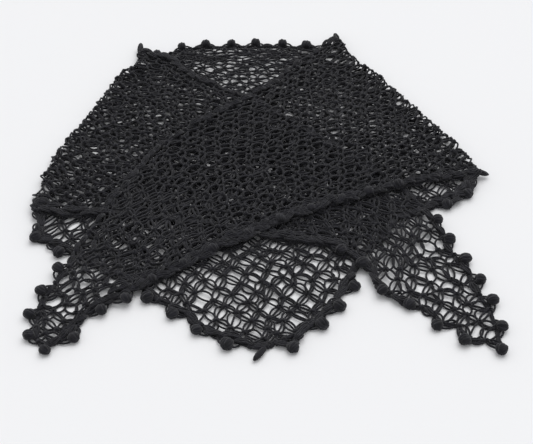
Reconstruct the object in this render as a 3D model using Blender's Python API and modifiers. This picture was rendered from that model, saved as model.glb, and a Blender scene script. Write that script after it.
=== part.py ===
"""A crocheted lace neck warmer: a triangular shawl laid flat with both wings folded in.

The back panel lies on the table with its point towards the viewer. The left wing is folded
over it, the right wing is folded over both, and a narrow hem with crochet bobbles runs round
every edge. Blender units are metres, +Z is up and -Y faces the viewer.
"""

import math

import bmesh
import bpy
import numpy as np
from mathutils import Matrix

# Driving dimensions in metres.
CLOTH = 0.003            # thickness of the lace
SEAM = 0.0003            # gap between pieces that touch
SLANT_SEAM = 0.0005      # the same gap measured along a wing's slanting stations
STEP = CLOTH + SEAM      # rise of one layer over the layer below it
FOLD_RADIUS = 0.004      # middle of the cloth round each fold
FOLD_LEAD = 0.003        # flat cloth between a fold and its seam with the back panel
FOLD_BLEND = 0.030       # distance over which a fold settles onto the layer below
HEM_WIDTH = 0.006
HEM_INSET = 0.010        # from the line of bobble centres to the edge of the panel
TIP_WIDTH = 0.034        # width of a wing where its panel stops and the hem closes the tip
LAYER_MARGIN = 0.026     # how far past the layer below a wing keeps its height
LAYER_RAMP = 0.040       # distance over which it then comes down to the table
BOBBLE_RADIUS = 0.0065
BOBBLE_HEIGHT = 0.0055   # half height, a little flattened
HORN_RADIUS = 0.0042     # the long bobbles at the folds and the point
CORNER_GAP = 0.002       # extra room between a fold and the hem at its ends
CORNER_REST = 0.024      # the right leg's hem stops this far short of the sharp fold corner
POINT_OVERRUN = 0.007    # the left leg's hem goes this far past the point, which it holds
ORIGIN_SHIFT = (-0.0035, 0.0025)

# Corners and edge lines in millimetres, x to the right and y away from the viewer.
# The hem's bobbles are centred on these lines.
FAR_LEFT = (-175, 262)
FAR_RIGHT = (103, 295)
NEAR_LEFT = (-271, -74)
NEAR_RIGHT = (262, -12)
POINT = (-8, -306)
LEFT_WING_TIP = (246, -303)
RIGHT_WING_TIP = (-225, -304)

# Rows of x, y. Each line runs from its first corner to its last.
LINES = {
    "top": (FAR_LEFT, (-150, 261), (-118, 279), (-47, 288), (27, 287), (78, 283), FAR_RIGHT),
    "fold_left": (FAR_LEFT, (-178, 224), (-190, 214), (-212, 158), (-241, 88), (-260, 18), NEAR_LEFT),
    "fold_right": (FAR_RIGHT, (129, 236), (143, 217), (170, 177), (213, 97), (250, 26), NEAR_RIGHT),
    "legs": (NEAR_LEFT, (-270, -105), (-261, -131), (-231, -155), (-125, -228), (-37, -296), POINT,
             (30, -300), (61, -268), (99, -210), (119, -161), (158, -110), (217, -71), (243, -52),
             NEAR_RIGHT),
    "left_long": (FAR_LEFT, (-143, 249), (-94, 199), (-8, 137), (95, 37), (190, -70), (212, -134),
                  (239, -200), (251, -271), LEFT_WING_TIP),
    "left_short": (NEAR_LEFT, (-193, -86), (-80, -108), (41, -139), (104, -174), (126, -221),
                   (156, -240), (206, -288), LEFT_WING_TIP),
    "right_long": (FAR_RIGHT, (50, 241), (15, 187), (-32, 137), (-96, 80), (-146, 15), (-182, -70),
                   (-225, -176), (-249, -245), (-246, -282), RIGHT_WING_TIP),
    "right_short": (NEAR_RIGHT, (164, -44), (96, -71), (56, -87), (-47, -154), (-148, -231),
                    (-174, -248), (-198, -286), RIGHT_WING_TIP),
}

# Where the bobbles of each hem stand, as distances in millimetres from its line's start.
# Stretches that lie tucked under a wing have none.
BOBBLES = {
    "back_far_hem": (24, 62, 98, 134, 169, 207, 241),
    "back_left_hem": (57, 97, 225, 262, 298, 337),
    "back_right_hem": (408, 454, 487, 523, 710, 744),
    "left_wing_long_hem": (532, 566, 601, 636, 670, 709, 742),
    "left_wing_short_hem": (366, 398, 445, 480, 519, 553),
    "right_wing_long_hem": (592, 628, 664, 695, 724),
    "right_wing_short_hem": (104, 144, 178, 219, 261, 304, 350, 390, 431, 470, 500, 546),
}

# Long bobbles that stand out at a corner: x and y of the centre in millimetres, direction and
# droop in degrees, and length in millimetres.
HORNS = {
    "back_far_hem": ((-174, 268, 92, 0, 28), (103, 300, 100, 0, 28)),
    "back_left_hem": ((-11, -307, -100, 0, 24),),
    "right_wing_short_hem": ((263, -13, -6, 14, 28),),
}

YARN_COLOURS = {
    "back": (0.013, 0.013, 0.015, 1.0),
    "left": (0.015, 0.015, 0.017, 1.0),
    "right": (0.017, 0.017, 0.019, 1.0),
}


def smooth_step(value):
    """0 below 0, 1 above 1 and an S-curve between."""
    x = np.clip(value, 0.0, 1.0)
    return x * x * (3.0 - 2.0 * x)


def even_line(rows, count=400):
    """Evenly spaced points on the smooth curve through the rows, in metres."""
    knots = np.array(rows, float) * 0.001 + np.array(ORIGIN_SHIFT)
    chord = np.linalg.norm(np.diff(knots, axis=0), axis=1)
    at = np.concatenate([[0.0], np.cumsum(chord)])
    slope = np.gradient(knots, at, axis=0)
    fine = np.linspace(0.0, at[-1], 4 * count)
    k = np.clip(np.searchsorted(at, fine, side="right") - 1, 0, len(chord) - 1)
    span = chord[k][:, None]
    u = ((fine - at[k]) / chord[k])[:, None]
    blend = smooth_step(u)
    points = (
        (1.0 - blend) * knots[k] + blend * knots[k + 1]
        + u * (1.0 - u) ** 2 * span * slope[k]
        - u * u * (1.0 - u) * span * slope[k + 1]
    )
    length = np.concatenate([[0.0], np.cumsum(np.linalg.norm(np.diff(points, axis=0), axis=1))])
    even = np.linspace(0.0, length[-1], count)
    return np.stack([np.interp(even, length, points[:, axis]) for axis in (0, 1)], axis=1)


def on_line(line, fraction):
    """Points at fractions 0 to 1 of an evenly spaced line."""
    at = np.linspace(0.0, 1.0, len(line))
    return np.stack([np.interp(fraction, at, line[:, axis]) for axis in (0, 1)], axis=-1)


def line_length(line):
    return np.linalg.norm(np.diff(line, axis=0), axis=1).sum()


def left_of(line):
    """Unit normals on the left hand of a line's direction."""
    run = np.gradient(line, axis=0)
    run /= np.linalg.norm(run, axis=1)[:, None]
    return np.stack([-run[:, 1], run[:, 0]], axis=1)


def closed_outline(*lines):
    """Lines that meet end to end, without the point that each shares with the next."""
    return np.concatenate([line[:-1] for line in lines])


def depth_inside(points, outline):
    """Distance of each point inside a closed outline, negative where it lies outside."""
    start = outline[None]
    end = np.roll(outline, -1, axis=0)[None]
    run = end - start
    offset = points[:, None] - start
    along = np.clip((offset * run).sum(2) / (run * run).sum(2), 0.0, 1.0)
    distance = np.linalg.norm(offset - along[..., None] * run, axis=2).min(axis=1)
    x, y = points[:, None, 0], points[:, None, 1]
    straddles = (start[..., 1] > y) != (end[..., 1] > y)
    rise = np.where(straddles, run[..., 1], 1.0)
    crossing = start[..., 0] + (y - start[..., 1]) / rise * run[..., 0]
    inside = (straddles & (x < crossing)).sum(axis=1) % 2 == 1
    return np.where(inside, distance, -distance)


class Wing:
    """A folded wing: ruled from its long edge to its short edge, bowed by its fold."""

    def __init__(self, fold, long, short, turn, layers_below):
        self.fold = fold
        self.long = long
        self.short = short
        self.inward = turn * left_of(fold)
        self.layers_below = layers_below
        self.outline = closed_outline(fold, short, long[::-1])

    def width(self, s):
        return np.linalg.norm(on_line(self.long, s) - on_line(self.short, s), axis=-1)

    def plan(self, s, t):
        """Point at s along the wing, fold to tip, and t across it, long edge to short edge."""
        s, t = np.broadcast_arrays(s, t)
        across = t[..., None]
        straight = (1.0 - across) * on_line(self.long, s) + across * on_line(self.short, s)
        chord = (1.0 - across) * self.fold[0] + across * self.fold[-1]
        return straight + (1.0 - s[..., None]) ** 3 * (on_line(self.fold, t) - chord)

    def height(self, points):
        """Height of the wing's underside over the table."""
        flat = points.reshape(-1, 2)
        level = np.zeros(len(flat))
        for outline in self.layers_below:
            depth = depth_inside(flat, outline)
            level += STEP * smooth_step((depth + LAYER_MARGIN + LAYER_RAMP) / LAYER_RAMP)
        reach = np.linalg.norm(flat[:, None] - self.fold[None, ::8], axis=2).min(axis=1)
        level += (2.0 * FOLD_RADIUS - STEP) * (1.0 - smooth_step(reach / FOLD_BLEND))
        return level.reshape(points.shape[:-1])

    def rows(self):
        """Stations along the wing, from just past the fold to the start of the tip."""
        s = np.linspace(0.0, 1.0, 600)
        last = s[np.nonzero(self.width(s) > TIP_WIDTH)[0][-1]]
        return np.concatenate([[0.012], np.linspace(0.04, last, 26)])

    def fold_row(self, t, back_from_edge, height):
        """A row of points that follows the fold at a distance inside it."""
        plan = on_line(self.fold, t) + back_from_edge * on_line(self.inward, t)
        return np.concatenate([plan, np.full((len(t), 1), height)], axis=1)


def new_material(name, colour):
    material = bpy.data.materials.new(name)
    material.use_nodes = True
    shader = material.node_tree.nodes["Principled BSDF"]
    shader.inputs["Base Color"].default_value = colour
    shader.inputs["Roughness"].default_value = 0.92
    shader.inputs["Metallic"].default_value = 0.0
    return material


def new_object(name, mesh, colour, collection):
    mesh.materials.append(new_material(name + "_yarn", colour))
    item = bpy.data.objects.new(name, mesh)
    collection.objects.link(item)
    return item


def add_cloth(name, grid, colour):
    """A wall of cloth whose middle runs through a grid of points, rows by columns."""
    rows, columns = grid.shape[:2]
    index = np.arange(rows * columns).reshape(rows, columns)
    corners = (index[:-1, :-1], index[:-1, 1:], index[1:, 1:], index[1:, :-1])
    faces = np.stack(corners, axis=-1).reshape(-1, 4)
    mesh = bpy.data.meshes.new(name)
    mesh.from_pydata(grid.reshape(-1, 3).tolist(), [], faces.tolist())
    item = new_object(name, mesh, colour, model)
    wall = item.modifiers.new("Wall", "SOLIDIFY")
    wall.thickness = CLOTH
    wall.offset = 0.0
    return item


def add_wing(name, wing, columns, colour):
    """The wing's panel, from its seam beside the back panel round the fold to the tip.

    Returns the first row of the panel, where the back panel meets it.
    """
    share = (HEM_INSET + CORNER_GAP) / line_length(wing.fold)
    t = np.linspace(share, 1.0 - share, columns)
    start = FOLD_RADIUS + CLOTH / 2 + FOLD_LEAD
    bend = [wing.fold_row(t, start, CLOTH / 2)]
    for angle in np.radians((-90, -45, 0, 45, 90)):
        back = CLOTH / 2 + FOLD_RADIUS * (1.0 - math.cos(angle))
        bend.append(wing.fold_row(t, back, CLOTH / 2 + FOLD_RADIUS * (1.0 + math.sin(angle))))
    s = wing.rows()[:, None]
    inset = np.full(s.shape, HEM_INSET)
    inset[0] += CORNER_GAP
    share = inset / wing.width(s)
    plan = wing.plan(s, share + (1.0 - 2.0 * share) * np.linspace(0.0, 1.0, columns)[None])
    middle = wing.height(plan) + CLOTH / 2
    flat = np.concatenate([plan, middle[..., None]], axis=2)
    add_cloth(name, np.concatenate([np.stack(bend), flat]), colour)
    return bend[0][:, :2] + SEAM * on_line(wing.inward, t)


def add_bobbles(name, line, height_of):
    """One cutter mesh with every bobble and horn of a hem."""
    shapes = bmesh.new()
    length = line_length(line)
    for distance in BOBBLES[name]:
        centre = on_line(line, 0.001 * distance / length)
        z = height_of(centre[None])[0] + BOBBLE_HEIGHT + SEAM
        size = Matrix.Diagonal((BOBBLE_RADIUS, BOBBLE_RADIUS, BOBBLE_HEIGHT, 1.0))
        place = Matrix.Translation((*centre, z)) @ size
        bmesh.ops.create_uvsphere(shapes, u_segments=8, v_segments=6, radius=1.0, matrix=place)
    for x, y, direction, droop, length_mm in HORNS.get(name, ()):
        centre = 0.001 * np.array([x, y], float) + np.array(ORIGIN_SHIFT)
        half = 0.0005 * length_mm
        turn = Matrix.Rotation(math.radians(direction), 4, "Z")
        tilt = Matrix.Rotation(math.radians(droop), 4, "Y")
        z = height_of(centre[None])[0] + HORN_RADIUS + SEAM - half * math.sin(math.radians(droop))
        size = Matrix.Diagonal((half, HORN_RADIUS, HORN_RADIUS, 1.0))
        place = Matrix.Translation((*centre, z)) @ turn @ tilt @ size
        bmesh.ops.create_uvsphere(shapes, u_segments=8, v_segments=6, radius=1.0, matrix=place)
    mesh = bpy.data.meshes.new(name + "_bobbles")
    shapes.to_mesh(mesh)
    shapes.free()
    cutter = bpy.data.objects.new(name + "_bobbles", mesh)
    cutter.hide_render = True
    cutter.display_type = "WIRE"
    cutters.objects.link(cutter)
    return cutter


def add_hem(name, inner, outer, line, height_of, colour):
    """A narrow strip between two lines, with its bobbles joined on."""
    plan = np.stack([inner, outer], axis=1)
    middle = height_of(plan.reshape(-1, 2)).reshape(plan.shape[:2]) + CLOTH / 2
    hem = add_cloth(name, np.concatenate([plan, middle[..., None]], axis=2), colour)
    join = hem.modifiers.new("Bobbles", "BOOLEAN")
    join.operation = "UNION"
    join.object = add_bobbles(name, line, height_of)


def add_wing_hems(name, wing, colour):
    """The hems of a wing's two edges, made from the panel's own stations.

    The long edge's hem also closes the tip.
    """
    s = wing.rows()
    inner = (HEM_INSET - SLANT_SEAM) / wing.width(s)
    outer = (HEM_INSET - SLANT_SEAM - HEM_WIDTH) / wing.width(s)
    add_hem(name + "_short_hem", wing.plan(s, 1.0 - inner), wing.plan(s, 1.0 - outer),
            wing.short, wing.height, colour)
    tip = np.array([s[-1] + 0.002, (s[-1] + 1.0) / 2, 0.992])
    margin = (HEM_INSET - SLANT_SEAM - HEM_WIDTH) / np.maximum(wing.width(tip), 2.5 * HEM_INSET)
    s = np.concatenate([s, tip])
    inner = np.concatenate([inner, 1.0 - margin])
    outer = np.concatenate([outer, margin])
    add_hem(name + "_long_hem", wing.plan(s, inner), wing.plan(s, outer),
            wing.long, wing.height, colour)


def back_hem_lines(line, turn, start, end, count):
    """A flat hem's stations: the panel's edge, the strip's inner side and its outer side."""
    length = line_length(line)
    at = np.linspace(start / length, end / length, count)
    inward = turn * on_line(left_of(line), at)
    edge = on_line(line, at) + HEM_INSET * inward
    inner = edge - SEAM * inward
    return edge, inner, inner - HEM_WIDTH * inward


def flat_height(points):
    return np.zeros(len(points))


def add_plate(name, outline, thickness, colour):
    """A flat panel with its underside on the table."""
    curve = bpy.data.curves.new(name, "CURVE")
    curve.dimensions = "2D"
    curve.fill_mode = "BOTH"
    curve.extrude = thickness / 2
    spline = curve.splines.new("POLY")
    spline.points.add(len(outline) - 1)
    for point, (x, y) in zip(spline.points, outline):
        point.co = (x, y, 0.0, 1.0)
    spline.use_cyclic_u = True
    curve.materials.append(new_material(name + "_yarn", colour))
    item = bpy.data.objects.new(name, curve)
    item.location.z = thickness / 2
    model.objects.link(item)


for old in list(bpy.data.objects):
    bpy.data.objects.remove(old, do_unlink=True)
model = bpy.data.collections.new("neck_warmer")
cutters = bpy.data.collections.new("cutters")
for group in (model, cutters):
    bpy.context.scene.collection.children.link(group)

lines = {name: even_line(rows) for name, rows in LINES.items()}
back_outline = closed_outline(lines["top"], lines["fold_right"], lines["legs"][::-1],
                              lines["fold_left"][::-1])
left_wing = Wing(lines["fold_left"], lines["left_long"], lines["left_short"], 1, [back_outline])
right_wing = Wing(lines["fold_right"], lines["right_long"], lines["right_short"], -1,
                  [back_outline, left_wing.outline])

# The wings, and their seams with the back panel.
left_seam = add_wing("left_wing", left_wing, 13, YARN_COLOURS["left"])
right_seam = add_wing("right_wing", right_wing, 15, YARN_COLOURS["right"])
add_wing_hems("left_wing", left_wing, YARN_COLOURS["left"])
add_wing_hems("right_wing", right_wing, YARN_COLOURS["right"])

# The back panel's hems: the far edge, and the two legs that meet at the point.
top_length = line_length(lines["top"])
leg_length = line_length(lines["legs"])
point = np.array(POINT) * 0.001 + np.array(ORIGIN_SHIFT)
at_point = leg_length * np.argmin(np.linalg.norm(lines["legs"] - point, axis=1)) / len(lines["legs"])
split = at_point + POINT_OVERRUN
back_hems = (
    ("back_far_hem", "top", -1, 0.001, top_length - 0.001, 22),
    ("back_left_hem", "legs", 1, 0.004, split - SEAM / 2, 30),
    ("back_right_hem", "legs", 1, split + SEAM / 2, leg_length - CORNER_REST, 36),
)
edges = []
for name, line, turn, start, end, count in back_hems:
    edge, inner, outer = back_hem_lines(lines[line], turn, start, end, count)
    edges.append(edge)
    add_hem(name, inner, outer, lines[line], flat_height, YARN_COLOURS["back"])

# The back panel, between its hems and the wings' seams.
far_edge, left_edge, right_edge = edges
far_edge = far_edge[1:-1]
outline = np.concatenate([far_edge, right_seam, right_edge[::-1], left_edge[::-1], left_seam[::-1]])
add_plate("back_panel", outline, CLOTH, YARN_COLOURS["back"])
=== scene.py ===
import math

import bpy
import numpy as np
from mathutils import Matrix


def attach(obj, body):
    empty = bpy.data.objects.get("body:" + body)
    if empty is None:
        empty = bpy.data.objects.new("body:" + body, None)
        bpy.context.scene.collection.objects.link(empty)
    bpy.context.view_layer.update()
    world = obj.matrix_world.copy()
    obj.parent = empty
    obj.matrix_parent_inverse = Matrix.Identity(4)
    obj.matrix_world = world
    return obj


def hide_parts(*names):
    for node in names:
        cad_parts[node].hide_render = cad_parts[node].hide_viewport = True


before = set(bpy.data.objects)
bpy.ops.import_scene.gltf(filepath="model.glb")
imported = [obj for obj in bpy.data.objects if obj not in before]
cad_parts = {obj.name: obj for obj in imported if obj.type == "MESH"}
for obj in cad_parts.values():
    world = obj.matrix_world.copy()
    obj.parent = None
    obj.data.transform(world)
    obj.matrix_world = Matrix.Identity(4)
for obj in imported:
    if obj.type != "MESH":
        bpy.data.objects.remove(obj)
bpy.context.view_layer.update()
print("frame loaded")

# A love-knot net, folded: the back lies on the table, the left wing on it, the right wing on both.
# Lengths are in metres unless a note says otherwise. A cell is one knot to the next.

layout = {
    "shift": (-0.0035, 0.0025),   # moves the tables below onto the frame's origin
    "inset": 0.0105,              # from the line of bobble centres to the net's edge
    "middle": 0.0016,             # height of the net's middle over what it lies on
    "step": 0.0033,               # rise of one layer over another
    "foldRadius": 0.004,
    "foldBlend": 0.030,           # a fold's height fades over this reach
    "foldSlip": 0.05,             # and the slip of the net towards it over about this one
    "foldShift": 0.0012,          # the net's shift inwards from the folds
    "layerMargin": 0.026,         # a layer keeps its height this far past the one below
    "layerRamp": 0.040,           # and comes down over this reach
    "clear": 0.0001,              # the yarn's least height over the table
    "trim": 8,                    # points cut from each end of a line where it meets the next
}

# Edge lines, x and y in millimetres, through the bobble centres.
farLeft, farRight = (-175, 262), (103, 295)
nearLeft, nearRight = (-271, -74), (262, -12)
point = (-8, -306)
leftTip, rightTip = (246, -303), (-225, -304)
edgeTables = {
    "top": (farLeft, (-150, 261), (-118, 279), (-47, 288), (27, 287), (78, 283), farRight),
    "foldLeft": (farLeft, (-178, 224), (-190, 214), (-212, 158), (-241, 88), (-260, 18), nearLeft),
    "foldRight": (farRight, (129, 236), (143, 217), (170, 177), (213, 97), (250, 26), nearRight),
    "legs": (nearLeft, (-270, -105), (-261, -131), (-231, -155), (-125, -228), (-37, -296), point,
             (30, -300), (61, -268), (99, -210), (119, -161), (158, -110), (217, -71), (243, -52),
             nearRight),
    "leftLong": (farLeft, (-143, 249), (-94, 199), (-8, 137), (95, 37), (190, -70), (212, -134),
                 (239, -200), (251, -271), leftTip),
    "leftShort": (nearLeft, (-193, -86), (-80, -108), (41, -139), (104, -174), (126, -221),
                  (156, -240), (206, -288), leftTip),
    "rightLong": (farRight, (50, 241), (15, 187), (-32, 137), (-96, 80), (-146, 15), (-182, -70),
                  (-225, -176), (-249, -245), (-246, -282), rightTip),
    "rightShort": (nearRight, (164, -44), (96, -71), (56, -87), (-47, -154), (-148, -231),
                   (-174, -248), (-198, -286), rightTip),
}


def smoothStep(value):
    # 0 below 0, 1 above 1 and 3x^2 - 2x^3 between
    x = np.clip(value, 0.0, 1.0)
    return x * x * (3.0 - 2.0 * x)


def unit(vectors):
    # each vector divided by its length
    return vectors / np.maximum(np.linalg.norm(vectors, axis=-1, keepdims=True), 1e-9)


def evenLine(rows, count=400):
    # a Hermite curve through the rows, resampled at equal steps of arc length
    knots = np.array(rows, float) * 0.001 + np.array(layout["shift"])
    chord = np.linalg.norm(np.diff(knots, axis=0), axis=1)
    at = np.concatenate([[0.0], np.cumsum(chord)])
    slope = np.gradient(knots, at, axis=0)
    fine = np.linspace(0.0, at[-1], 4 * count)
    k = np.clip(np.searchsorted(at, fine, side="right") - 1, 0, len(chord) - 1)
    span = chord[k][:, None]
    u = ((fine - at[k]) / chord[k])[:, None]
    blend = smoothStep(u)
    line = ((1.0 - blend) * knots[k] + blend * knots[k + 1]
            + u * (1.0 - u) ** 2 * span * slope[k] - u * u * (1.0 - u) * span * slope[k + 1])
    return resampled(line, count)


def resampled(line, count):
    # the same polyline with its points at equal steps
    length = np.concatenate([[0.0], np.cumsum(np.linalg.norm(np.diff(line, axis=0), axis=1))])
    even = np.linspace(0.0, length[-1], count)
    return np.stack([np.interp(even, length, line[:, axis]) for axis in (0, 1)], axis=1)


def lineLength(line):
    # the sum of its steps' lengths
    return np.linalg.norm(np.diff(line, axis=0), axis=1).sum()


def onLine(line, fraction):
    # linear interpolation along an evenly spaced line
    at = np.linspace(0.0, 1.0, len(line))
    return np.stack([np.interp(fraction, at, line[:, axis]) for axis in (0, 1)], axis=-1)


def leftNormals(line):
    # the run of the line turned a quarter turn to the left
    run = unit(np.gradient(line, axis=0))
    return np.stack([-run[:, 1], run[:, 0]], axis=1)


lines = {name: evenLine(rows) for name, rows in edgeTables.items()}


# Heights of the layers, on a grid over the table.
table = {"low": (-0.32, -0.36), "pitch": 0.005, "shape": (129, 141)}


def gridPoints():
    # the low corner plus the pitch times each row and column
    x = table["low"][0] + table["pitch"] * np.arange(table["shape"][0])
    y = table["low"][1] + table["pitch"] * np.arange(table["shape"][1])
    return np.stack(np.meshgrid(x, y, indexing="ij"), axis=-1)


def depthInside(points, outline):
    # distance to the nearest side of the outline, positive inside it by the crossing rule
    start, end = outline[None], np.roll(outline, -1, axis=0)[None]
    run = end - start
    offset = points[:, None] - start
    along = np.clip((offset * run).sum(2) / (run * run).sum(2), 0.0, 1.0)
    distance = np.linalg.norm(offset - along[..., None] * run, axis=2).min(axis=1)
    x, y = points[:, None, 0], points[:, None, 1]
    straddles = (start[..., 1] > y) != (end[..., 1] > y)
    rise = np.where(straddles, run[..., 1], 1.0)
    crossing = start[..., 0] + (y - start[..., 1]) / rise * run[..., 0]
    inside = (straddles & (x < crossing)).sum(axis=1) % 2 == 1
    return np.where(inside, distance, -distance)


def levelGrid(fold, outlinesBelow):
    # one step for each layer below, fading past its edge, and the fold's own height beside it
    points = gridPoints().reshape(-1, 2)
    level = np.zeros(len(points))
    for outline in outlinesBelow:
        depth = depthInside(points, outline)
        past = (depth + layout["layerMargin"] + layout["layerRamp"]) / layout["layerRamp"]
        level += layout["step"] * smoothStep(past)
    reach = np.linalg.norm(points[:, None] - fold[None, ::8], axis=2).min(axis=1)
    rise = 2.0 * layout["foldRadius"] - layout["step"]
    level += rise * (1.0 - smoothStep(reach / layout["foldBlend"]))
    return level.reshape(table["shape"])


def bilinear(field, rows, columns):
    # the four values round each place, weighted by nearness
    rows = np.clip(rows, 0.0, field.shape[0] - 1.001)
    columns = np.clip(columns, 0.0, field.shape[1] - 1.001)
    r, c = rows.astype(int), columns.astype(int)
    a, b = rows - r, columns - c
    if field.ndim == 3:
        a, b = a[..., None], b[..., None]
    near = (1.0 - b) * field[r, c] + b * field[r, c + 1]
    far = (1.0 - b) * field[r + 1, c] + b * field[r + 1, c + 1]
    return (1.0 - a) * near + a * far


def levelAt(grid, points):
    # the grid's height at each point: its row and column are its distances over the pitch
    rows = (points[..., 0] - table["low"][0]) / table["pitch"]
    columns = (points[..., 1] - table["low"][1]) / table["pitch"]
    return bilinear(grid, rows, columns)


def thinOutline(*sides):
    # every fourth point of each side, end to end
    return np.concatenate([side[:-1:4] for side in sides])


backOutline = thinOutline(lines["top"], lines["foldRight"],
                          lines["legs"][::-1], lines["foldLeft"][::-1])
leftOutline = thinOutline(lines["foldLeft"], lines["leftShort"], lines["leftLong"][::-1])
levels = {
    "back": np.zeros(table["shape"]),
    "left": levelGrid(lines["foldLeft"], [backOutline]),
    "right": levelGrid(lines["foldRight"], [backOutline, leftOutline]),
}
print("heights done")


# The net in cells: i counts knots up the left leg and j up the right leg, from the point.
net = {
    "rows": 58,
    "split": 29.0,                # the back's near piece stops at this row
    "pitch": 0.019,               # a loop's own length, and so the cell of the flat cut
    "foldNear": {"left": (23.2, 0.0), "right": (0.0, 23.0)},
    "foldFar": {"left": (33.2, 24.8), "right": (24.5, 33.5)},
    "tip": {"left": (58.0, 0.0), "right": (0.0, 58.0)},
    "tipGap": 0.010,              # the net stops this far short of a tip
    "farGather": 0.08,            # the rows crowd towards the far edge
    "insetLimit": 0.45,           # no inset takes more of a wing's width
    "curveFrom": 34.0,            # from this row on the rows take on the top edge's curve
    "layersFrom": 27.0,           # the wings lie over the back from this row on
    "layersRamp": 6.0,            # and wholly this many rows further
    "farFrom": 42.0,              # from this row on the back shows again between them
    "farRamp": 4.0,
    "tipFrom": 0.45,              # the share of its way at which a wing leaves the layers
    "tipRamp": 0.2,
    "jitter": 0.0046,             # how far a knot strays
    "calm": 0.50,                 # how much of it is left in the layers
    "front": 0.86,                # and at the front
    "wander": 0.0050,             # how far the rows wander
    "wanderCells": 4.0,           # over this many cells
    "ripple": 0.0009,             # how far the cloth lifts
}

# Two tables of random shifts, starting two cells and one wander before the point.
rng = np.random.default_rng(11)
strays = rng.normal(0.0, 0.5, (64, 64, 3)) * (net["jitter"], net["jitter"], 0.5 * net["ripple"])
wanders = rng.normal(0.0, 0.5, (20, 20, 3)) * (net["wander"], net["wander"], net["ripple"])

# The rows crowd towards a wing's tip by the share "gather". The insets say how far the net stops
# inside its line of bobbles, as shares of the line and metres: less where the hem is rolled under,
# and below zero where it sags over the line.
wings = {
    "left": {"fold": lines["foldLeft"], "long": lines["leftLong"], "short": lines["leftShort"],
             "inward": leftNormals(lines["foldLeft"]), "gather": 0.0,
             "longInset": ((0.66, 0.003), (0.74, 0.0105)),
             "shortInset": ((0.0, -0.003), (0.04, -0.009), (0.09, -0.007), (0.14, 0.001),
                            (0.50, 0.003), (0.58, 0.0095))},
    "right": {"fold": lines["foldRight"], "long": lines["rightLong"], "short": lines["rightShort"],
              "inward": -leftNormals(lines["foldRight"]), "gather": 0.09,
              "longInset": ((0.76, 0.003), (0.84, 0.0105)),
              "shortInset": ((0.70, 0.003), (0.78, 0.0095))},
}


def farGather(x, s=0.0):
    # a share of the rows up a fold to a share of its length, (1 + c) x - c x^2, less towards a tip
    return x * (1.0 + net["farGather"] * (1.0 - s) ** 2 * (1.0 - x))


def wingPlan(wing, s, t):
    # ruled from long edge to short edge, bowed by the fold, which fades as (1 - s)^3; the rows
    # gather towards the tip by g s (1 - s^6)
    s = s + wing["gather"] * s * (1.0 - s ** 6)
    along = s * (1.0 - net["tipGap"] / lineLength(wing["long"]))
    width = np.linalg.norm(onLine(wing["long"], along) - onLine(wing["short"], along), axis=-1)
    width = np.maximum(width, 1e-6)
    low, high = (np.interp(along, *np.array(wing[key]).T) for key in ("longInset", "shortInset"))
    low, high = (np.minimum(inset / width, net["insetLimit"]) for inset in (low, high))
    t = low + (1.0 - low - high) * (1.0 - farGather(1.0 - t, s))
    across = t[..., None]
    straight = (1.0 - across) * onLine(wing["long"], along) + across * onLine(wing["short"], along)
    within = np.clip(across, 0.0, 1.0)
    chord = (1.0 - within) * wing["fold"][0] + within * wing["fold"][-1]
    return straight + (1.0 - along[..., None]) ** 3 * (onLine(wing["fold"], within[..., 0]) - chord)


def sideLine(legPart, fold):
    # a leg's inset line carried on to the fold, its points' shares of its length, and the fold's
    # line from there up, both ends cut by the inset's share of it
    share = layout["inset"] / lineLength(fold)
    upFold = onLine(fold, np.linspace(1.0 - share, share, 200))
    leg = np.concatenate([legPart, upFold[:1]])
    along = np.concatenate([[0.0], np.cumsum(np.linalg.norm(np.diff(leg, axis=0), axis=1))])
    return leg, along / along[-1], upFold


def backSide(side, leg, fold):
    # leg and fold as rows and points: even rows up the leg, then rows gathering up the fold
    leg, share, upFold = sideLine(leg, fold)
    near = sum(net["foldNear"][side])
    up = np.linspace(0.0, 1.0, 400)
    up = np.interp(np.linspace(0.0, 1.0, len(upFold)), farGather(up), up)
    rows = np.concatenate([share * near, near + up[1:] * (net["rows"] - near)])
    return rows, np.concatenate([leg, upFold[1:]])


# The legs' straight stretches would meet at a sharp corner, which lies curled up in the photo.
bunch = {
    "corner": (30, -341),         # where they would meet, in millimetres
    "stretch": (0.337, 0.520),    # the rounded stretch of the legs, from the left fold
    "soft": 0.35,                 # the squeeze starts this many gaps from the edge
}
legLine = lines["legs"] + layout["inset"] * leftNormals(lines["legs"])
corner = np.array([bunch["corner"]]) * 0.001 + layout["shift"]
rounded = [int(x / lineLength(lines["legs"]) * len(legLine)) for x in bunch["stretch"]]
leftLeg = legLine[layout["trim"] - 1:rounded[0] + 1][::-1]
rightLeg = legLine[rounded[1]:-layout["trim"]]
backLeft = backSide("left", np.concatenate([corner, leftLeg]), lines["foldLeft"])
backRight = backSide("right", np.concatenate([corner, rightLeg]), lines["foldRight"])
topLine = lines["top"] - layout["inset"] * leftNormals(lines["top"])
topLine = topLine[layout["trim"]:-layout["trim"]]


def sidePoint(side, rows):
    # the point of a side at each row, linear between its rows
    return np.stack([np.interp(rows, side[0], side[1][:, axis]) for axis in (0, 1)], axis=-1)


def foldJ(side, rows):
    # the j at which a row meets that side's edge: the leg, then the fold
    near, far = np.array(net["foldNear"][side]), np.array(net["foldFar"][side])
    up = np.clip((rows - near.sum()) / (far.sum() - near.sum()), 0.0, 1.0)
    low = np.zeros_like(rows) if side == "left" else np.minimum(rows, near[1])
    return low + up * (far[1] - near[1])


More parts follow.
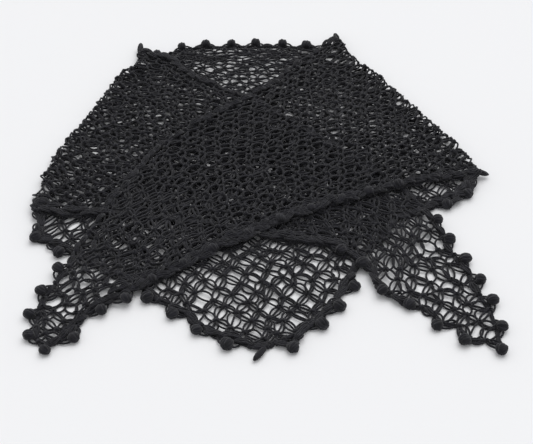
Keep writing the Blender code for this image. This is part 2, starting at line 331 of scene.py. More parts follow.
def curlCorner(plan):
    # the sharp corner squeezed onto the rounded edge: y = edge + soft ln(1 + e^((y - edge) / soft))
    real = legLine[rounded[0]:rounded[1] + 1]
    sharp = np.concatenate([real[:1], corner, real[-1:]])
    edge = np.interp(plan[..., 0], real[:, 0], real[:, 1])
    gap = edge - np.interp(plan[..., 0], sharp[:, 0], sharp[:, 1])
    soft = bunch["soft"] * np.maximum(gap, 1e-6)
    squeezed = edge + soft * np.logaddexp(0.0, (plan[..., 1] - edge) / soft)
    return np.stack([plan[..., 0], np.where(gap > 1e-5, squeezed, plan[..., 1])], axis=-1)


def backPlan(i, j):
    # each row runs straight from side to side, and the last ones take on the top edge's curve
    rows = i + j
    jLeft, jRight = foldJ("left", rows), foldJ("right", rows)
    across = (j - jLeft) / np.maximum(jRight - jLeft, 0.5)
    left, right = sidePoint(backLeft, rows), sidePoint(backRight, rows)
    plan = left + across[..., None] * (right - left)
    curve = onLine(topLine, across)
    chord = topLine[0] + across[..., None] * (topLine[-1] - topLine[0])
    top = smoothStep((rows - net["curveFrom"]) / (net["rows"] - net["curveFrom"]))[..., None]
    return curlCorner(plan + top * (curve - chord))


def wingCells(side, i, j):
    # barycentric places in the wing's triangle: s towards the tip, t towards the near corner
    tip, far, near = (np.array(net[key][side]) for key in ("tip", "foldFar", "foldNear"))
    matrix = np.linalg.inv(np.stack([tip - near, far - near], axis=1))
    offset = np.stack([i - near[0], j - near[1]], axis=-1) @ matrix.T
    s = np.clip(offset[..., 0], 0.0, 0.999)
    t = (1.0 - offset[..., 0] - offset[..., 1]) / (1.0 - s)
    return s, t


def roundFold(plan, wing):
    # near a fold the flat distance becomes an arc; returns the new plan and 1 - sin of its angle
    radius = layout["foldRadius"]
    gap = np.linalg.norm(plan[..., None, :] - wing["fold"][::4], axis=-1)
    nearest = gap.argmin(axis=-1)
    inward = wing["inward"][::4][nearest]
    reach = np.maximum(((plan - wing["fold"][::4][nearest]) * inward).sum(-1), 0.0)
    quarter = radius * math.pi / 2
    angle = np.minimum(reach / radius, math.pi / 2)
    slip = np.where(reach < quarter, radius * (1.0 - np.cos(angle)) - reach,
                    (radius - quarter) * np.exp((quarter - reach) / layout["foldSlip"]))
    return plan + (slip + layout["foldShift"])[..., None] * inward, 1.0 - np.sin(angle)


def foldSide(side, i, j):
    # the cross product of the fold's direction and the cell's place, positive on the wing
    near, far = np.array(net["foldNear"][side]), np.array(net["foldFar"][side])
    cross = (far[0] - near[0]) * (j - near[1]) - (far[1] - near[1]) * (i - near[0])
    return -cross if side == "left" else cross


def underWings(i, j):
    # 0 at the front to 1 in the layers, a smooth step over the rows
    return smoothStep((i + j - net["layersFrom"]) / net["layersRamp"])


def pastLayers(s):
    # 0 in the layers to 1 at a wing's tip, a smooth step over the share of its way
    return smoothStep((s - net["tipFrom"]) / net["tipRamp"])


def looseness(i, j):
    # 1 at the wings' tips, and less at the front and where the net is drawn tight over a layer
    loose = net["front"] + (net["calm"] - net["front"]) * underWings(i, j)
    for side in wings:
        s, t = wingCells(side, i, j)
        wing = net["calm"] + (1.0 - net["calm"]) * pastLayers(s)
        loose = np.where(foldSide(side, i, j) > 0.0, wing, loose)
    return loose


def placeNet(cells):
    # cells to points: the back's or a wing's plan, rounded at the folds, with its height
    i, j = cells[..., 0], cells[..., 1]
    plan = backPlan(i, j)
    lift = np.full(i.shape, layout["middle"])
    for side, wing in wings.items():
        plan, rise = roundFold(plan, wing)
        lift = lift + layout["foldRadius"] * rise
    for side, wing in wings.items():
        over = foldSide(side, i, j) > 0.0
        s, t = wingCells(side, i, j)
        flat, rise = roundFold(wingPlan(wing, s, t), wing)
        height = levelAt(levels[side], flat) + layout["middle"] - layout["foldRadius"] * rise
        plan = np.where(over[..., None], flat, plan)
        lift = np.where(over, height, lift)
    stray = bilinear(strays, i + 2.0, j + 2.0) * looseness(i, j)[..., None]
    size = net["wanderCells"]
    wander = bilinear(wanders, (i + size) / size, (j + size) / size)
    points = np.concatenate([plan, lift[..., None]], axis=-1) + stray + wander
    points[..., 2] = np.maximum(points[..., 2], layout["middle"])
    return points


def netNormals(cells):
    # the cross product of the net's two directions, from differences; up on the back panel
    reach = 0.2
    alongI = placeNet(cells + (reach, 0.0)) - placeNet(cells - (reach, 0.0))
    alongJ = placeNet(cells + (0.0, reach)) - placeNet(cells - (0.0, reach))
    normal = np.cross(alongJ, alongI)
    weak = np.linalg.norm(normal, axis=-1, keepdims=True) < 1e-7
    return unit(np.where(weak, (0.0, 0.0, 1.0), normal))


def tubes(paths, up, radius, sides=5):
    # a ring of points round every station of each path: radius (cos a side + sin a top)
    # paths is (count, stations, 3); radius may vary by count, station and side
    count, stations = paths.shape[:2]
    run = unit(np.gradient(paths, axis=1))
    side = unit(np.cross(run, up))
    top = np.cross(side, run)
    angle = np.linspace(0.0, 2.0 * math.pi, sides, endpoint=False)[:, None]
    ring = np.cos(angle) * side[:, :, None] + np.sin(angle) * top[:, :, None]
    radius = np.broadcast_to(radius, (count, stations, sides))[..., None]
    points = paths[:, :, None] + radius * ring
    index = np.arange(count * stations * sides).reshape(count, stations, sides)
    turned = np.roll(index, -1, axis=2)
    quads = np.stack([index[:, :-1], index[:, 1:], turned[:, 1:], turned[:, :-1]], axis=-1)
    step = np.linalg.norm(np.diff(paths, axis=1), axis=-1)
    length = np.concatenate([np.zeros((count, 1)), np.cumsum(step, axis=1)], axis=1) * 1000.0
    length = np.broadcast_to(length[..., None], (count, stations, sides))
    turn = np.broadcast_to(np.arange(sides) / sides, (count, stations - 1, sides))
    along = np.stack([length[:, :-1], length[:, 1:], length[:, 1:], length[:, :-1]], axis=-1)
    around = np.stack([turn, turn, turn + 1.0 / sides, turn + 1.0 / sides], axis=-1)
    caps = np.concatenate([index[:, 0], index[:, -1, ::-1]])
    return {
        "points": points.reshape(-1, 3),
        "faces": [quads.reshape(-1, 4), caps],
        "turns": [np.stack([along, around], axis=-1).reshape(-1, 2), np.zeros((caps.size, 2))],
    }


def addPiece(name, parts, material, nodes):
    # joins tubes into one mesh, smooth, with the length and turn of the yarn as its UV map
    starts = np.cumsum([0] + [len(part["points"]) for part in parts])
    points = np.concatenate([part["points"] for part in parts])
    points[:, 2] = np.maximum(points[:, 2], layout["clear"])
    faces = [face + start for part, start in zip(parts, starts) for face in part["faces"]]
    turns = np.concatenate([turn for part in parts for turn in part["turns"]])
    corners = np.concatenate([face.ravel() for face in faces])
    sizes = np.concatenate([np.full(len(face), face.shape[1]) for face in faces])
    mesh = bpy.data.meshes.new(name)
    mesh.vertices.add(starts[-1])
    mesh.vertices.foreach_set("co", points.ravel())
    mesh.loops.add(len(corners))
    mesh.loops.foreach_set("vertex_index", corners.astype(np.int32))
    mesh.polygons.add(len(sizes))
    mesh.polygons.foreach_set("loop_start", (np.cumsum(sizes) - sizes).astype(np.int32))
    mesh.polygons.foreach_set("use_smooth", np.ones(len(sizes), bool))
    mesh.uv_layers.new(name="yarnTurns").uv.foreach_set("vector", turns.ravel())
    mesh.update(calc_edges=True)
    mesh.materials.append(material)
    piece = bpy.data.objects.new(name, mesh)
    bpy.context.scene.collection.objects.link(piece)
    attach(piece, "root")
    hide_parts(*nodes)
    print(name, "has", int((sizes - 2).sum()), "triangles")
    return piece


# Yarn: dark charcoal wool, spun from plies, matt with a faint bloom.
yarn = {
    "dark": (0.0042, 0.0042, 0.0058, 1.0),
    "light": (0.0121, 0.0120, 0.0172, 1.0),
    "patchScale": 160.0,
    "patchDetail": 5.0,
    "patchRange": (0.3, 0.7),     # the noise values where the dark and the light are full
    "roughness": 0.85,
    "specular": 0.25,
    "sheen": 0.16,
    "sheenRoughness": 0.5,
    "plies": 3.0,
    "lay": 4.2,                   # millimetres along the yarn for one turn of the plies
    "plyRelief": 0.35,            # the plies' height as a share of the fibres'
    "fibreScale": 1400.0,
    "fibreDetail": 4.0,
    "bump": 0.35,
    "bumpHeight": 0.0006,
}


def addNode(tree, kind, **values):
    # a new node of the material with its settings
    node = tree.nodes.new(kind)
    for key, value in values.items():
        setattr(node, key, value)
    return node


def yarnMaterial():
    # plies: a sine of the length over the lay plus the turn round the yarn; fibres: fine noise
    material = bpy.data.materials.new("charcoalYarn")
    material.use_nodes = True
    tree = material.node_tree
    link = tree.links.new
    shader = tree.nodes["Principled BSDF"]
    shader.inputs["Roughness"].default_value = yarn["roughness"]
    shader.inputs["Specular IOR Level"].default_value = yarn["specular"]
    shader.inputs["Sheen Weight"].default_value = yarn["sheen"]
    shader.inputs["Sheen Roughness"].default_value = yarn["sheenRoughness"]
    turns = addNode(tree, "ShaderNodeUVMap", uv_map="yarnTurns")
    split = addNode(tree, "ShaderNodeSeparateXYZ")
    link(turns.outputs["UV"], split.inputs[0])
    length = addNode(tree, "ShaderNodeMath", operation="MULTIPLY")
    link(split.outputs["X"], length.inputs[0])
    length.inputs[1].default_value = 2.0 * math.pi / yarn["lay"]
    phase = addNode(tree, "ShaderNodeMath", operation="MULTIPLY_ADD")
    link(split.outputs["Y"], phase.inputs[0])
    phase.inputs[1].default_value = 2.0 * math.pi * yarn["plies"]
    link(length.outputs[0], phase.inputs[2])
    ply = addNode(tree, "ShaderNodeMath", operation="SINE")
    link(phase.outputs[0], ply.inputs[0])
    place = addNode(tree, "ShaderNodeTexCoord")
    fibres = addNode(tree, "ShaderNodeTexNoise")
    fibres.inputs["Scale"].default_value = yarn["fibreScale"]
    fibres.inputs["Detail"].default_value = yarn["fibreDetail"]
    link(place.outputs["Object"], fibres.inputs["Vector"])
    relief = addNode(tree, "ShaderNodeMath", operation="MULTIPLY_ADD")
    link(ply.outputs[0], relief.inputs[0])
    relief.inputs[1].default_value = yarn["plyRelief"]
    link(fibres.outputs["Fac"], relief.inputs[2])
    bump = addNode(tree, "ShaderNodeBump")
    bump.inputs["Strength"].default_value = yarn["bump"]
    bump.inputs["Distance"].default_value = yarn["bumpHeight"]
    link(relief.outputs[0], bump.inputs["Height"])
    link(bump.outputs["Normal"], shader.inputs["Normal"])
    patches = addNode(tree, "ShaderNodeTexNoise")
    patches.inputs["Scale"].default_value = yarn["patchScale"]
    patches.inputs["Detail"].default_value = yarn["patchDetail"]
    link(place.outputs["Object"], patches.inputs["Vector"])
    shade = addNode(tree, "ShaderNodeMapRange")
    shade.inputs["From Min"].default_value = yarn["patchRange"][0]
    shade.inputs["From Max"].default_value = yarn["patchRange"][1]
    link(patches.outputs["Fac"], shade.inputs["Value"])
    tint = addNode(tree, "ShaderNodeMix", data_type="RGBA")
    link(shade.outputs["Result"], tint.inputs["Factor"])
    tint.inputs["A"].default_value = yarn["dark"]
    tint.inputs["B"].default_value = yarn["light"]
    link(tint.outputs["Result"], shader.inputs["Base Color"])
    return material


charcoal = yarnMaterial()
print("yarn ready")


# The lace: two bowed strands run between neighbouring knots, and between them, on a share of the
# cells' sides, a nearly straight one.
lace = {
    "radius": 0.00134,
    "stations": 7,
    "bow": (0.20, 0.33),          # how far the outer strands bow, as shares of their length
    "centreBow": 0.08,
    "shear": 0.7,                 # the share of a bow that runs along the net's other direction
    "spreads": (0.0, 1.0, 2.0),           # in the layers, at the front and at the tips:
    "middleShare": (0.05, 0.88, 0.70),    # the share of the sides that have a middle strand,
    "spreadBow": (1.32, 0.97, 1.14),      # the bows as shares of the above,
    "spreadLean": (0.045, 0.06, 0.075),   # how far a whole side of a cell bows one way,
    "spreadRadius": (0.92, 0.92, 0.96),   # and the yarn's radius as a share of the above
    "farSpread": 0.5,             # the spread where the back shows between the wings
    "sideScale": (0.8, 1.1),      # a side's own share of its bows
    "lift": (-0.0004, 0.0026),    # how far a strand stands off the net's middle
    "skew": (0.8, 1.25),          # the power that moves a bow's crest along the strand
    "roundness": 0.62,            # the power that rounds a bow
    "thickness": (0.90, 1.10),    # a strand's own share of the yarn's radius
    "knotRadius": 0.0034,
    "knotYarn": 0.0017,
    "knotTurns": (0.7, -0.7),     # the wraps' directions over a knot
    "knotStray": 0.4,
    "knotReach": 95.0,            # degrees that a wrap goes down to either side
    "knotHeight": 0.75,           # its height as a share of its radius
}


def spread(i, j):
    # 0 in the layers to 1 at the front and 2 at the tips, where the net lies spread on its own
    far = smoothStep((i + j - net["farFrom"]) / net["farRamp"])
    alone = 1.0 - underWings(i, j) + lace["farSpread"] * far
    for side in wings:
        s, t = wingCells(side, i, j)
        alone = np.where(foldSide(side, i, j) > 0.0, 2.0 * pastLayers(s), alone)
    return alone


def strandTubes(starts, ends):
    # each strand leaves the line between its knots by bow times sin(pi u^skew) to a power, partly
    # square to that line and partly along the net's other direction
    u = np.linspace(0.0, 1.0, lace["stations"])
    cells = starts[:, None] + u[:, None] * (ends - starts)[:, None]
    centre = placeNet(cells)
    normal = netNormals(cells)
    run = unit(np.gradient(centre, axis=1))
    square = unit(np.cross(normal, run))
    across = 0.1 * (ends - starts)[:, None, ::-1]
    sheared = unit(placeNet(cells + across) - placeNet(cells - across))
    sheared = np.where((sheared * square).sum(-1, keepdims=True) > 0.0, sheared, -sheared)
    side = square + lace["shear"] * (sheared - square)
    count = len(starts)
    low, high = lace["bow"]
    bows = np.stack([rng.uniform(low, high, count), -rng.uniform(low, high, count),
                     rng.uniform(-1.0, 1.0, count) * lace["centreBow"]])
    middle = (starts + ends) / 2
    chord = np.linalg.norm(centre[:, -1] - centre[:, 0], axis=1)
    alone = spread(*middle.T)
    lean = np.interp(alone, lace["spreads"], lace["spreadLean"])
    bows = (bows + rng.normal(0.0, 1.0, count) * lean) * chord
    wide = np.interp(alone, lace["spreads"], lace["spreadBow"])
    bows = bows * wide * rng.uniform(*lace["sideScale"], count)
    lifts = rng.uniform(*lace["lift"], (3, count))
    skew = rng.uniform(*lace["skew"], (3, count, 1))
    profile = np.sin(math.pi * u ** skew) ** lace["roundness"]
    facing = np.where(normal[..., 2:] > 0.0, normal, -normal)
    paths = (centre[None] + (bows[..., None] * profile)[..., None] * side[None]
             + (lifts[..., None] * profile)[..., None] * facing[None])
    paths[..., 2] = np.maximum(paths[..., 2], lace["radius"] + 2.0 * layout["clear"])
    up = np.broadcast_to(normal, paths.shape)
    centred = rng.random(count) < np.interp(alone, lace["spreads"], lace["middleShare"])
    kept = np.concatenate([np.ones(2 * count, bool), centred])
    thick = np.tile(np.interp(alone, lace["spreads"], lace["spreadRadius"]), 3)[kept]
    own = rng.uniform(*lace["thickness"], (kept.sum(), 1, 1))
    radius = lace["radius"] * thick[:, None, None] * own
    flat = (3 * count, lace["stations"], 3)
    return tubes(paths.reshape(flat)[kept], up.reshape(flat)[kept], radius)


def knotTubes(cells):
    # two short wraps of yarn over each knot: r sin a along and h r cos a up, where a runs from
    # minus to plus the wrap's reach
    centre = placeNet(cells)
    normal = netNormals(cells)
    facing = np.where(normal[:, 2:] > 0.7, normal, -normal)
    paths, ups = [], []
    stray, reach = lace["knotStray"], lace["knotReach"]
    for turn in lace["knotTurns"]:
        heading = turn + rng.uniform(-stray, stray, len(cells))
        flat = np.stack([np.cos(heading), np.sin(heading), np.zeros(len(cells))], axis=1)
        along = unit(flat - (flat * facing).sum(1, keepdims=True) * facing)
        angle = np.radians(np.linspace(-reach, reach, 4))[None, :, None]
        lift = np.cos(angle) * lace["knotHeight"] * facing[:, None]
        path = centre[:, None] + lace["knotRadius"] * (np.sin(angle) * along[:, None] + lift)
        path[..., 2] = np.maximum(path[..., 2], lace["knotYarn"])
        paths.append(path)
        ups.append(np.broadcast_to(np.cross(along, facing)[:, None], path.shape))
    return tubes(np.concatenate(paths), np.concatenate(ups), lace["knotYarn"])


def netCells():
    # every knot, and every side between neighbouring knots, as (start, end)
    i, j = np.meshgrid(np.arange(net["rows"] + 1), np.arange(net["rows"] + 1), indexing="ij")
    knots = np.stack([i, j], axis=-1).reshape(-1, 2)
    knots = knots[knots.sum(1) <= net["rows"]].astype(float)
    inner = knots[knots.sum(1) < net["rows"]]
    starts = np.concatenate([inner, inner])
    ends = np.concatenate([inner + (1.0, 0.0), inner + (0.0, 1.0)])
    return knots, starts, ends


def pieceOf(cells):
    # by row and fold: 0 the near back, 1 the far back, 2 the left wing, 3 the right wing
    i, j = cells[:, 0], cells[:, 1]
    back = np.where(i + j < net["split"], 0, 1)
    back = np.where(foldSide("left", i, j) > 0.0, 2, back)
    return np.where(foldSide("right", i, j) > 0.0, 3, back)


lacePieces = [
    {"name": "backLaceNear", "nodes": ["back_panel"], "held": "laid", "restsOn": []},
    {"name": "backLaceFar", "nodes": ["back_panel"], "held": "laid", "restsOn": []},
    {"name": "leftWingLace", "nodes": ["left_wing"], "held": "folded",
     "restsOn": ["backLaceNear", "backLaceFar"]},
    {"name": "rightWingLace", "nodes": ["right_wing"], "held": "folded",
     "restsOn": ["leftWingLace", "backLaceNear", "backLaceFar"]},
]
knots, starts, ends = netCells()
knotPiece, strandPiece = pieceOf(knots), pieceOf((starts + ends) / 2)
for number, settings in enumerate(lacePieces):
    mine = strandPiece == number
    ownKnots = knots[knotPiece == number]
    strands = strandTubes(starts[mine], ends[mine])
    wraps = knotTubes(ownKnots)
    settings["object"] = addPiece(settings["name"], [strands, wraps], charcoal, settings["nodes"])
    settings["cells"] = int(mine.sum()) / 2   # a cell has two sides of its own
    settings["span"] = np.ptp(ownKnots, axis=0) + 1.0


# The edging: a braided border, love-knot loops out from it, and a bobble at each loop's end.
edging = {
    "braidWidth": 0.0026,
    "braidHeight": 0.0011,
    "braidYarn": 0.00140,
    "braidYarns": 4,
    "braidThickness": (0.6, 0.4),     # its yarn's radius: a fixed share and one for the bulk
    "braidTurn": 0.014,
    "station": 0.0028,
    "loopYarn": 0.0012,
    "loopBow": 0.0028,
    "loopStray": (0.6, 1.3),          # a strand's own share of the bow
    "loopRoundness": 0.8,             # the power that rounds a loop
    "loopBulge": 0.0016,              # how far a loop swells away from the net
    "loopReach": 0.016,               # from the foot under a bobble to the next feet
    "frillEvery": 0.0056,             # bunched loops lie on a hem, more where it is rolled
    "frillLength": 0.0170,
    "frillLift": 0.0026,
    "frillStand": (0.3, 1.3),         # a loop's own share of the lift
    "frillSpread": 1.6,               # how far its feet stray sideways, in braid widths
    "frillFoot": 1.4,                 # the feet's height, in braid heights
    "frillShare": (0.8, 0.2),         # gain and loss: how many places have a loop
    "frillDouble": 2.0,               # two loops to a place where the bulk is more
}

# A bobble: a core, and strands over it from end to end. Shares are of its radius or half length.
bobble = {
    "radius": (0.0068, 0.0078),
    "half": (0.85, 1.1),          # half its length
    "flat": 0.80,                 # its height as a share of its width
    "ends": 16.0,                 # degrees from the axis at which it starts
    "stations": 7,
    "core": (0.90, 0.92),         # length and radius
    "coreSides": 10,
    "strands": 8,
    "strandSides": 6,
    "strandRadius": 0.30,
    "strandLength": 0.76,
    "strandOut": (0.60, 0.82),    # how far out the strands lie
    "strandStray": 0.12,
    "twist": 0.35,
    "foot": 0.002,                # its loops meet this far under its middle
}

# Each hem has its edge line, and the net's edge where that is named otherwise. The bulk of its
# braid along it is given as shares and factors, and the frill's where that differs. Then come its
# bobbles' distances in millimetres from the line's start, their size as a factor, up to which
# distance they are tucked in and by what share, and its horns, the long bobbles at corners: x, y,
# direction, droop and length, in millimetres and degrees.
hems = {
    "backFarEdging": {
        "node": "back_far_hem", "line": "top", "level": "back",
        "bulk": ((0.0, 0.7), (0.15, 0.55), (1.0, 0.55)),
        "frill": ((0.0, 0.6), (0.15, 0.4), (1.0, 0.4)),
        "bobbles": (24, 62, 98, 134, 169, 207, 241), "size": 0.95, "tucked": (300, 0.50),
        "horns": ((-174, 266, 92, -8, 30), (103, 299, 100, 0, 28)), "hornRadius": 0.0043},
    "backLeftEdging": {
        "node": "back_left_hem", "line": "legs", "edge": "leftLeg", "level": "back",
        "bulk": ((0.0, 0.8), (0.4, 0.8), (0.6, 0.9), (1.0, 1.0)),
        "frill": ((0.0, 1.8), (0.16, 1.5), (0.24, 0.9), (1.0, 1.1)),
        "bobbles": (57, 97, 225, 262, 298, 337), "size": 0.95,
        "horns": ((-4, -307, -122, 0, 27),), "hornRadius": 0.0038},
    "backRightEdging": {
        "node": "back_right_hem", "line": "legs", "edge": "rightLeg", "level": "back",
        "bulk": ((0.0, 1.0), (0.3, 0.9), (0.5, 0.8), (1.0, 0.8)),
        "frill": ((0.0, 1.1), (0.7, 0.9), (0.80, 2.4), (1.0, 2.8)),
        "bobbles": (408, 454, 487, 523, 710, 744), "size": 1.0},
    "leftWingLongEdging": {
        "node": "left_wing_long_hem", "line": "leftLong", "level": "left",
        "bulk": ((0.0, 0.8), (0.6, 0.8), (0.72, 0.6), (1.0, 0.6)),
        "frill": ((0.0, 0.5), (0.04, 1.6), (0.12, 1.6), (0.20, 0.8), (0.6, 0.8), (0.72, 0.6),
                  (1.0, 0.6)),
        "bobbles": (532, 566, 601, 636, 670, 709, 742), "size": 1.0},
    "leftWingShortEdging": {
        "node": "left_wing_short_hem", "line": "leftShort", "level": "left",
        "bulk": ((0.0, 2.1), (0.10, 1.9), (0.16, 0.8), (0.40, 0.8), (0.46, 1.9), (0.5, 1.9),
                 (0.62, 1.5), (0.74, 1.1), (0.82, 0.65), (1.0, 0.5)),
        "bobbles": (366, 398, 445, 480, 519, 553), "size": 0.97, "tucked": (500, 0.45)},
    "rightWingLongEdging": {
        "node": "right_wing_long_hem", "line": "rightLong", "level": "right",
        "bulk": ((0.0, 0.8), (0.7, 0.8), (0.8, 0.6), (1.0, 0.6)),
        "bobbles": (592, 628, 664, 695, 724), "size": 0.92},
    "rightWingShortEdging": {
        "node": "right_wing_short_hem", "line": "rightShort", "level": "right",
        "bulk": ((0.0, 1.0), (0.12, 1.1), (0.74, 1.15), (0.84, 0.9), (1.0, 0.9)),
        "frill": ((0.0, 1.0), (0.12, 1.9), (0.74, 2.3), (0.84, 1.2), (1.0, 1.0)),
        "bobbles": (104, 144, 178, 219, 261, 304, 350, 390, 431, 470, 500, 546), "size": 0.95,
        "tucked": (450, 0.85), "horns": ((263, -13, -6, 14, 28),), "hornRadius": 0.0040},
}


def edgeCells(edge):
    # the net's edge under each hem, as cells from the line's start to its end
    near, far, tip = net["foldNear"], net["foldFar"], net["tip"]
    ends = {"top": (far["left"], far["right"]), "leftLong": (far["left"], tip["left"]),
            "leftShort": (near["left"], tip["left"]), "rightLong": (far["right"], tip["right"]),
            "rightShort": (near["right"], tip["right"]), "leftLeg": (near["left"], (0.0, 0.0)),
            "rightLeg": ((0.0, 0.0), near["right"])}
    start, end = (np.array(cell) for cell in ends[edge])
    fine = start + np.linspace(0.0, 1.0, 900)[:, None] * (end - start)
    path = placeNet(fine)
    length = np.concatenate([[0.0], np.cumsum(np.linalg.norm(np.diff(path, axis=0), axis=1))])
    even = np.linspace(0.0, length[-1], int(length[-1] / edging["station"]) + 2)
    return np.stack([np.interp(even, length, fine[:, axis]) for axis in (0, 1)], axis=1), even


def braidTubes(base, normal, along, bulk):
    # yarns: sideways w sin p, up h sin 2p, where p is the length over a turn plus an even share,
    # with w, h and part of the yarn's own radius growing with the bulk
    side = unit(np.cross(normal, unit(np.gradient(base, axis=0))))
    share = np.arange(edging["braidYarns"])[:, None] / edging["braidYarns"]
    phase = 2.0 * math.pi * (along / edging["braidTurn"] + share)
    paths = (base + (edging["braidWidth"] * bulk * np.sin(phase))[..., None] * side
             + (edging["braidHeight"] * bulk * np.sin(2.0 * phase))[..., None] * normal)
    fixed, gain = edging["braidThickness"]
    radius = (edging["braidYarn"] * (fixed + gain * bulk))[None, :, None]
    paths[..., 2] = np.maximum(paths[..., 2], radius[..., 0] + layout["clear"])
    return tubes(paths, np.broadcast_to(normal, paths.shape), radius)


def loopTubes(starts, ends, outward, strands=3):
    # strands from each start to each end, bowed flat by b sin(pi u) to a power and swelling out
    u = np.linspace(0.0, 1.0, lace["stations"])[:, None]
    straight = starts[:, None] + u * (ends - starts)[:, None]
    run = unit(ends - starts)
    side = unit(np.stack([-run[:, 1], run[:, 0], np.zeros(len(run))], axis=1))[:, None]
    arch = np.sin(math.pi * u) ** edging["loopRoundness"]
    stray = rng.uniform(*edging["loopStray"], (strands, len(starts)))
    bows = np.linspace(1.0, -1.0, strands)[:, None] * stray
    bows = bows[..., None, None] * edging["loopBow"] * arch
    swell = edging["loopBulge"] * arch * outward[:, None]
    paths = (straight + swell + bows * side).reshape(-1, lace["stations"], 3)
    paths[..., 2] = np.maximum(paths[..., 2], edging["loopYarn"] + layout["clear"])
    up = np.broadcast_to(np.array([0.0, 0.0, 1.0]), paths.shape)
    return tubes(paths, up, edging["loopYarn"])


def frillTubes(base, normal, bulk):
    # bunched loops along a hem, each from a foot to one further on, standing up in between; the
    # share of the places that have one is gain times bulk minus loss, with two to a place where
    # the hem is thickest
    step = int(edging["frillEvery"] / edging["station"])
    length = int(edging["frillLength"] / edging["station"])
    at = np.arange(0, len(base) - length - 1, step)
    at = np.repeat(at, 1 + (bulk[at] > edging["frillDouble"]))
    gain, loss = edging["frillShare"]
    at = at[rng.random(len(at)) < gain * bulk[at] - loss]
    side = unit(np.cross(normal, unit(np.gradient(base, axis=0))))
    width = edging["braidWidth"] * bulk[at, None]
    sway = edging["frillSpread"]
    first = rng.uniform(-sway, sway, (len(at), 1)) * width * side[at]
    last = rng.uniform(-sway, sway, (len(at), 1)) * width * side[at + length]
    stand = rng.uniform(*edging["frillStand"], len(at))
    lift = np.stack([np.zeros(len(at)), np.zeros(len(at)), stand], axis=1)
    lift *= edging["frillLift"] / edging["loopBulge"]
    rise = edging["braidHeight"] * bulk[at, None] * (0.0, 0.0, edging["frillFoot"])
    return loopTubes(base[at] + first + rise, base[at + length] + last + rise, lift)


def puffTubes(centres, axes, halves, radii):
    # a core of radius r sin(a) along an axis of half length h cos(a), and strands from end to end
    # over it, each at its own turn and a little twisted
    angle = np.radians(np.linspace(bobble["ends"], 180.0 - bobble["ends"], bobble["stations"]))
    cosine, sine = np.cos(angle)[None, :, None], np.sin(angle)[None, :, None]
    long, wide = bobble["core"]
    core = centres[:, None] - long * cosine * (halves[:, None] * axes)[:, None]
    up = np.broadcast_to(np.array([0.0, 0.0, 1.0]), core.shape)
    flat, sides = bobble["flat"], bobble["coreSides"]
    ring = np.linspace(0.0, 2.0 * math.pi, sides, endpoint=False)
    oval = 1.0 / np.sqrt(np.cos(ring) ** 2 + (np.sin(ring) / flat) ** 2)
    inner = tubes(core, up, wide * radii[:, None, None] * sine * oval, sides=sides)
    count = bobble["strands"]
    side = unit(np.cross(axes, (0.0, 0.0, 1.0)))[:, None, None]
    top = np.cross(side, axes[:, None, None]) * flat
    turn = 2.0 * math.pi * np.arange(count)[None, :, None] / count
    start = rng.uniform(0.0, 2.0, (len(centres), 1, 1))
    stray = rng.normal(0.0, bobble["strandStray"], (len(centres), count, 1))
    turn = (turn + start + stray + bobble["twist"] * np.cos(angle))[..., None]
    radial = np.cos(turn) * side + np.sin(turn) * top
    around = unit(np.cos(turn) * top - np.sin(turn) * side)
    out = rng.uniform(*bobble["strandOut"], (len(centres), count, 1, 1))
    out = out * radii[:, None, None, None]
    along = bobble["strandLength"] * cosine[:, None] * (halves[:, None] * axes)[:, None, None]
    paths = centres[:, None, None] - along + out * np.sin(angle)[:, None] * radial
    rows = (len(centres) * count, len(angle), 3)
    thick = np.repeat(bobble["strandRadius"] * radii, count)[:, None, None]
    around = np.broadcast_to(around, paths.shape).reshape(rows)
    outer = tubes(paths.reshape(rows), around, thick, sides=bobble["strandSides"])
    return [inner, outer]


def bobbleTubes(settings, base):
    # bobbles at their distances along the hem's line, moved towards the hem by the tucked share,
    # each on loops from three feet on the hem
    line = lines[settings["line"]]
    distances = np.array(settings["bobbles"], float)
    spots = onLine(line, distances / (lineLength(line) * 1000.0))
    nearest = np.linalg.norm(base[None, :, :2] - spots[:, None], axis=2).argmin(axis=1)
    until, share = settings.get("tucked", (0, 0.0))
    tuck = np.where(distances < until, share, 0.0)[:, None]
    spots = (1.0 - tuck) * spots + tuck * base[nearest, :2]
    radii = settings["size"] * rng.uniform(*bobble["radius"], len(spots))
    heights = levelAt(levels[settings["level"]], spots) + bobble["flat"] * radii
    centres = np.concatenate([spots, heights[:, None]], axis=1)
    outward = spots - base[nearest, :2]
    axes = unit(np.concatenate([outward, np.zeros((len(spots), 1))], axis=1))
    parts = puffTubes(centres, axes, rng.uniform(*bobble["half"], len(radii)) * radii, radii)
    target = centres - (0.0, 0.0, bobble["foot"])
    reach = int(edging["loopReach"] / edging["station"])
    for shift, strands in ((-reach, 2), (0, 3), (reach, 2)):
        feet = base[np.clip(nearest + shift, 0, len(base) - 1)]
        parts.append(loopTubes(feet, target, axes * (shift != 0), strands))
    return parts


def hornTubes(settings):
    # long bobbles, each on its own axis: its direction in the plan, turned down by its droop
    horns = np.array(settings["horns"], float)
    plan = horns[:, :2] * 0.001 + np.array(layout["shift"])
    heading = np.radians(horns[:, 2])
    droop = np.radians(horns[:, 3])
    half = horns[:, 4] * 0.0005   # half the length, from millimetres
    radius = settings["hornRadius"]
    axes = np.stack([np.cos(heading) * np.cos(droop), np.sin(heading) * np.cos(droop),
                     -np.sin(droop)], axis=1)
    height = levelAt(levels[settings["level"]], plan) + radius - half * np.sin(droop)
    centres = np.concatenate([plan, height[:, None]], axis=1)
    return puffTubes(centres, axes, half, np.full(len(half), radius))


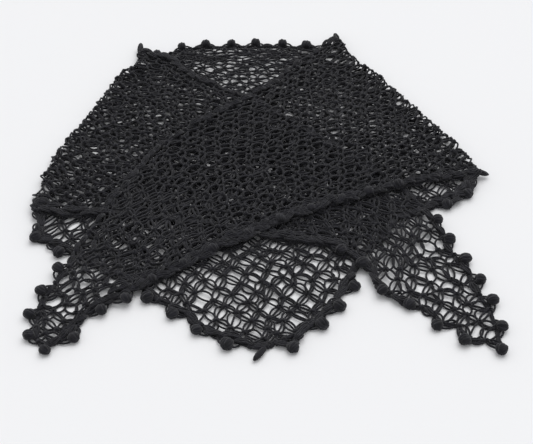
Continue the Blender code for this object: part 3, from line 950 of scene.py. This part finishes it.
def addEdging(name, settings):
    # one hem's braid, bunched loops, bobbles and horns, joined into a piece
    cells, along = edgeCells(settings.get("edge", settings["line"]))
    base, normal = placeNet(cells), netNormals(cells)
    share = along / along[-1]
    bulk = np.interp(share, *np.array(settings["bulk"]).T)
    frill = np.interp(share, *np.array(settings.get("frill", settings["bulk"])).T)
    facing = np.where(normal[:, 2:] > 0.0, normal, -normal)
    parts = [braidTubes(base, normal, along, bulk), frillTubes(base, facing, frill)]
    parts += bobbleTubes(settings, base)
    if "horns" in settings:
        parts += hornTubes(settings)
    return addPiece(name, parts, charcoal, [settings["node"]])


edgings = {name: addEdging(name, settings) for name, settings in hems.items()}


# Studio: a pale floor, soft light all round and a wide soft light from behind.
studio = {
    "floorSize": 9.0,
    "floorColour": (0.86, 0.862, 0.87, 1.0),
    "floorRoughness": 0.8,
    "sky": (0.99, 0.995, 1.01, 1.0),
    "skyStrength": 0.69,
    "lampTurn": (-28.0, 14.0),    # degrees about X and Y, from straight down
    "lampAngle": 60.0,
    "lampPower": 1.30,
}


def addFloor():
    # a square round the origin, half its size to each side
    half = studio["floorSize"] / 2
    mesh = bpy.data.meshes.new("floor")
    corners = [(-half, -half, 0.0), (half, -half, 0.0), (half, half, 0.0), (-half, half, 0.0)]
    mesh.from_pydata(corners, [], [(0, 1, 2, 3)])
    material = bpy.data.materials.new("paleFloor")
    material.use_nodes = True
    shader = material.node_tree.nodes["Principled BSDF"]
    shader.inputs["Base Color"].default_value = studio["floorColour"]
    shader.inputs["Roughness"].default_value = studio["floorRoughness"]
    mesh.materials.append(material)
    floor = bpy.data.objects.new("floor", mesh)
    bpy.context.scene.collection.objects.link(floor)


def addLight():
    # an even sky, and a wide sun turned from straight down
    world = bpy.data.worlds.new("studio")
    world.use_nodes = True
    world.node_tree.nodes["Background"].inputs["Color"].default_value = studio["sky"]
    world.node_tree.nodes["Background"].inputs["Strength"].default_value = studio["skyStrength"]
    bpy.context.scene.world = world
    bpy.context.scene.view_settings.view_transform = "Standard"
    lamp = bpy.data.lights.new("softLight", "SUN")
    lamp.angle = math.radians(studio["lampAngle"])
    lamp.energy = studio["lampPower"]
    holder = bpy.data.objects.new("softLight", lamp)
    holder.rotation_euler = (*np.radians(studio["lampTurn"]), 0.0)
    bpy.context.scene.collection.objects.link(holder)


# The camera stands at the near side and looks down at the photo's angle.
view = {"place": (-0.0005, -1.1065, 0.880), "fromDown": 49.0, "lens": 77.4}


def addCamera():
    # turned up about X by the angle from straight down
    eye = bpy.data.cameras.new("viewCamera")
    eye.lens = view["lens"]
    holder = bpy.data.objects.new("viewCamera", eye)
    holder.location = view["place"]
    holder.rotation_euler = (math.radians(view["fromDown"]), 0.0, 0.0)
    bpy.context.scene.collection.objects.link(holder)
    bpy.context.scene.camera = holder


addFloor()
addLight()
addCamera()
print("studio ready")
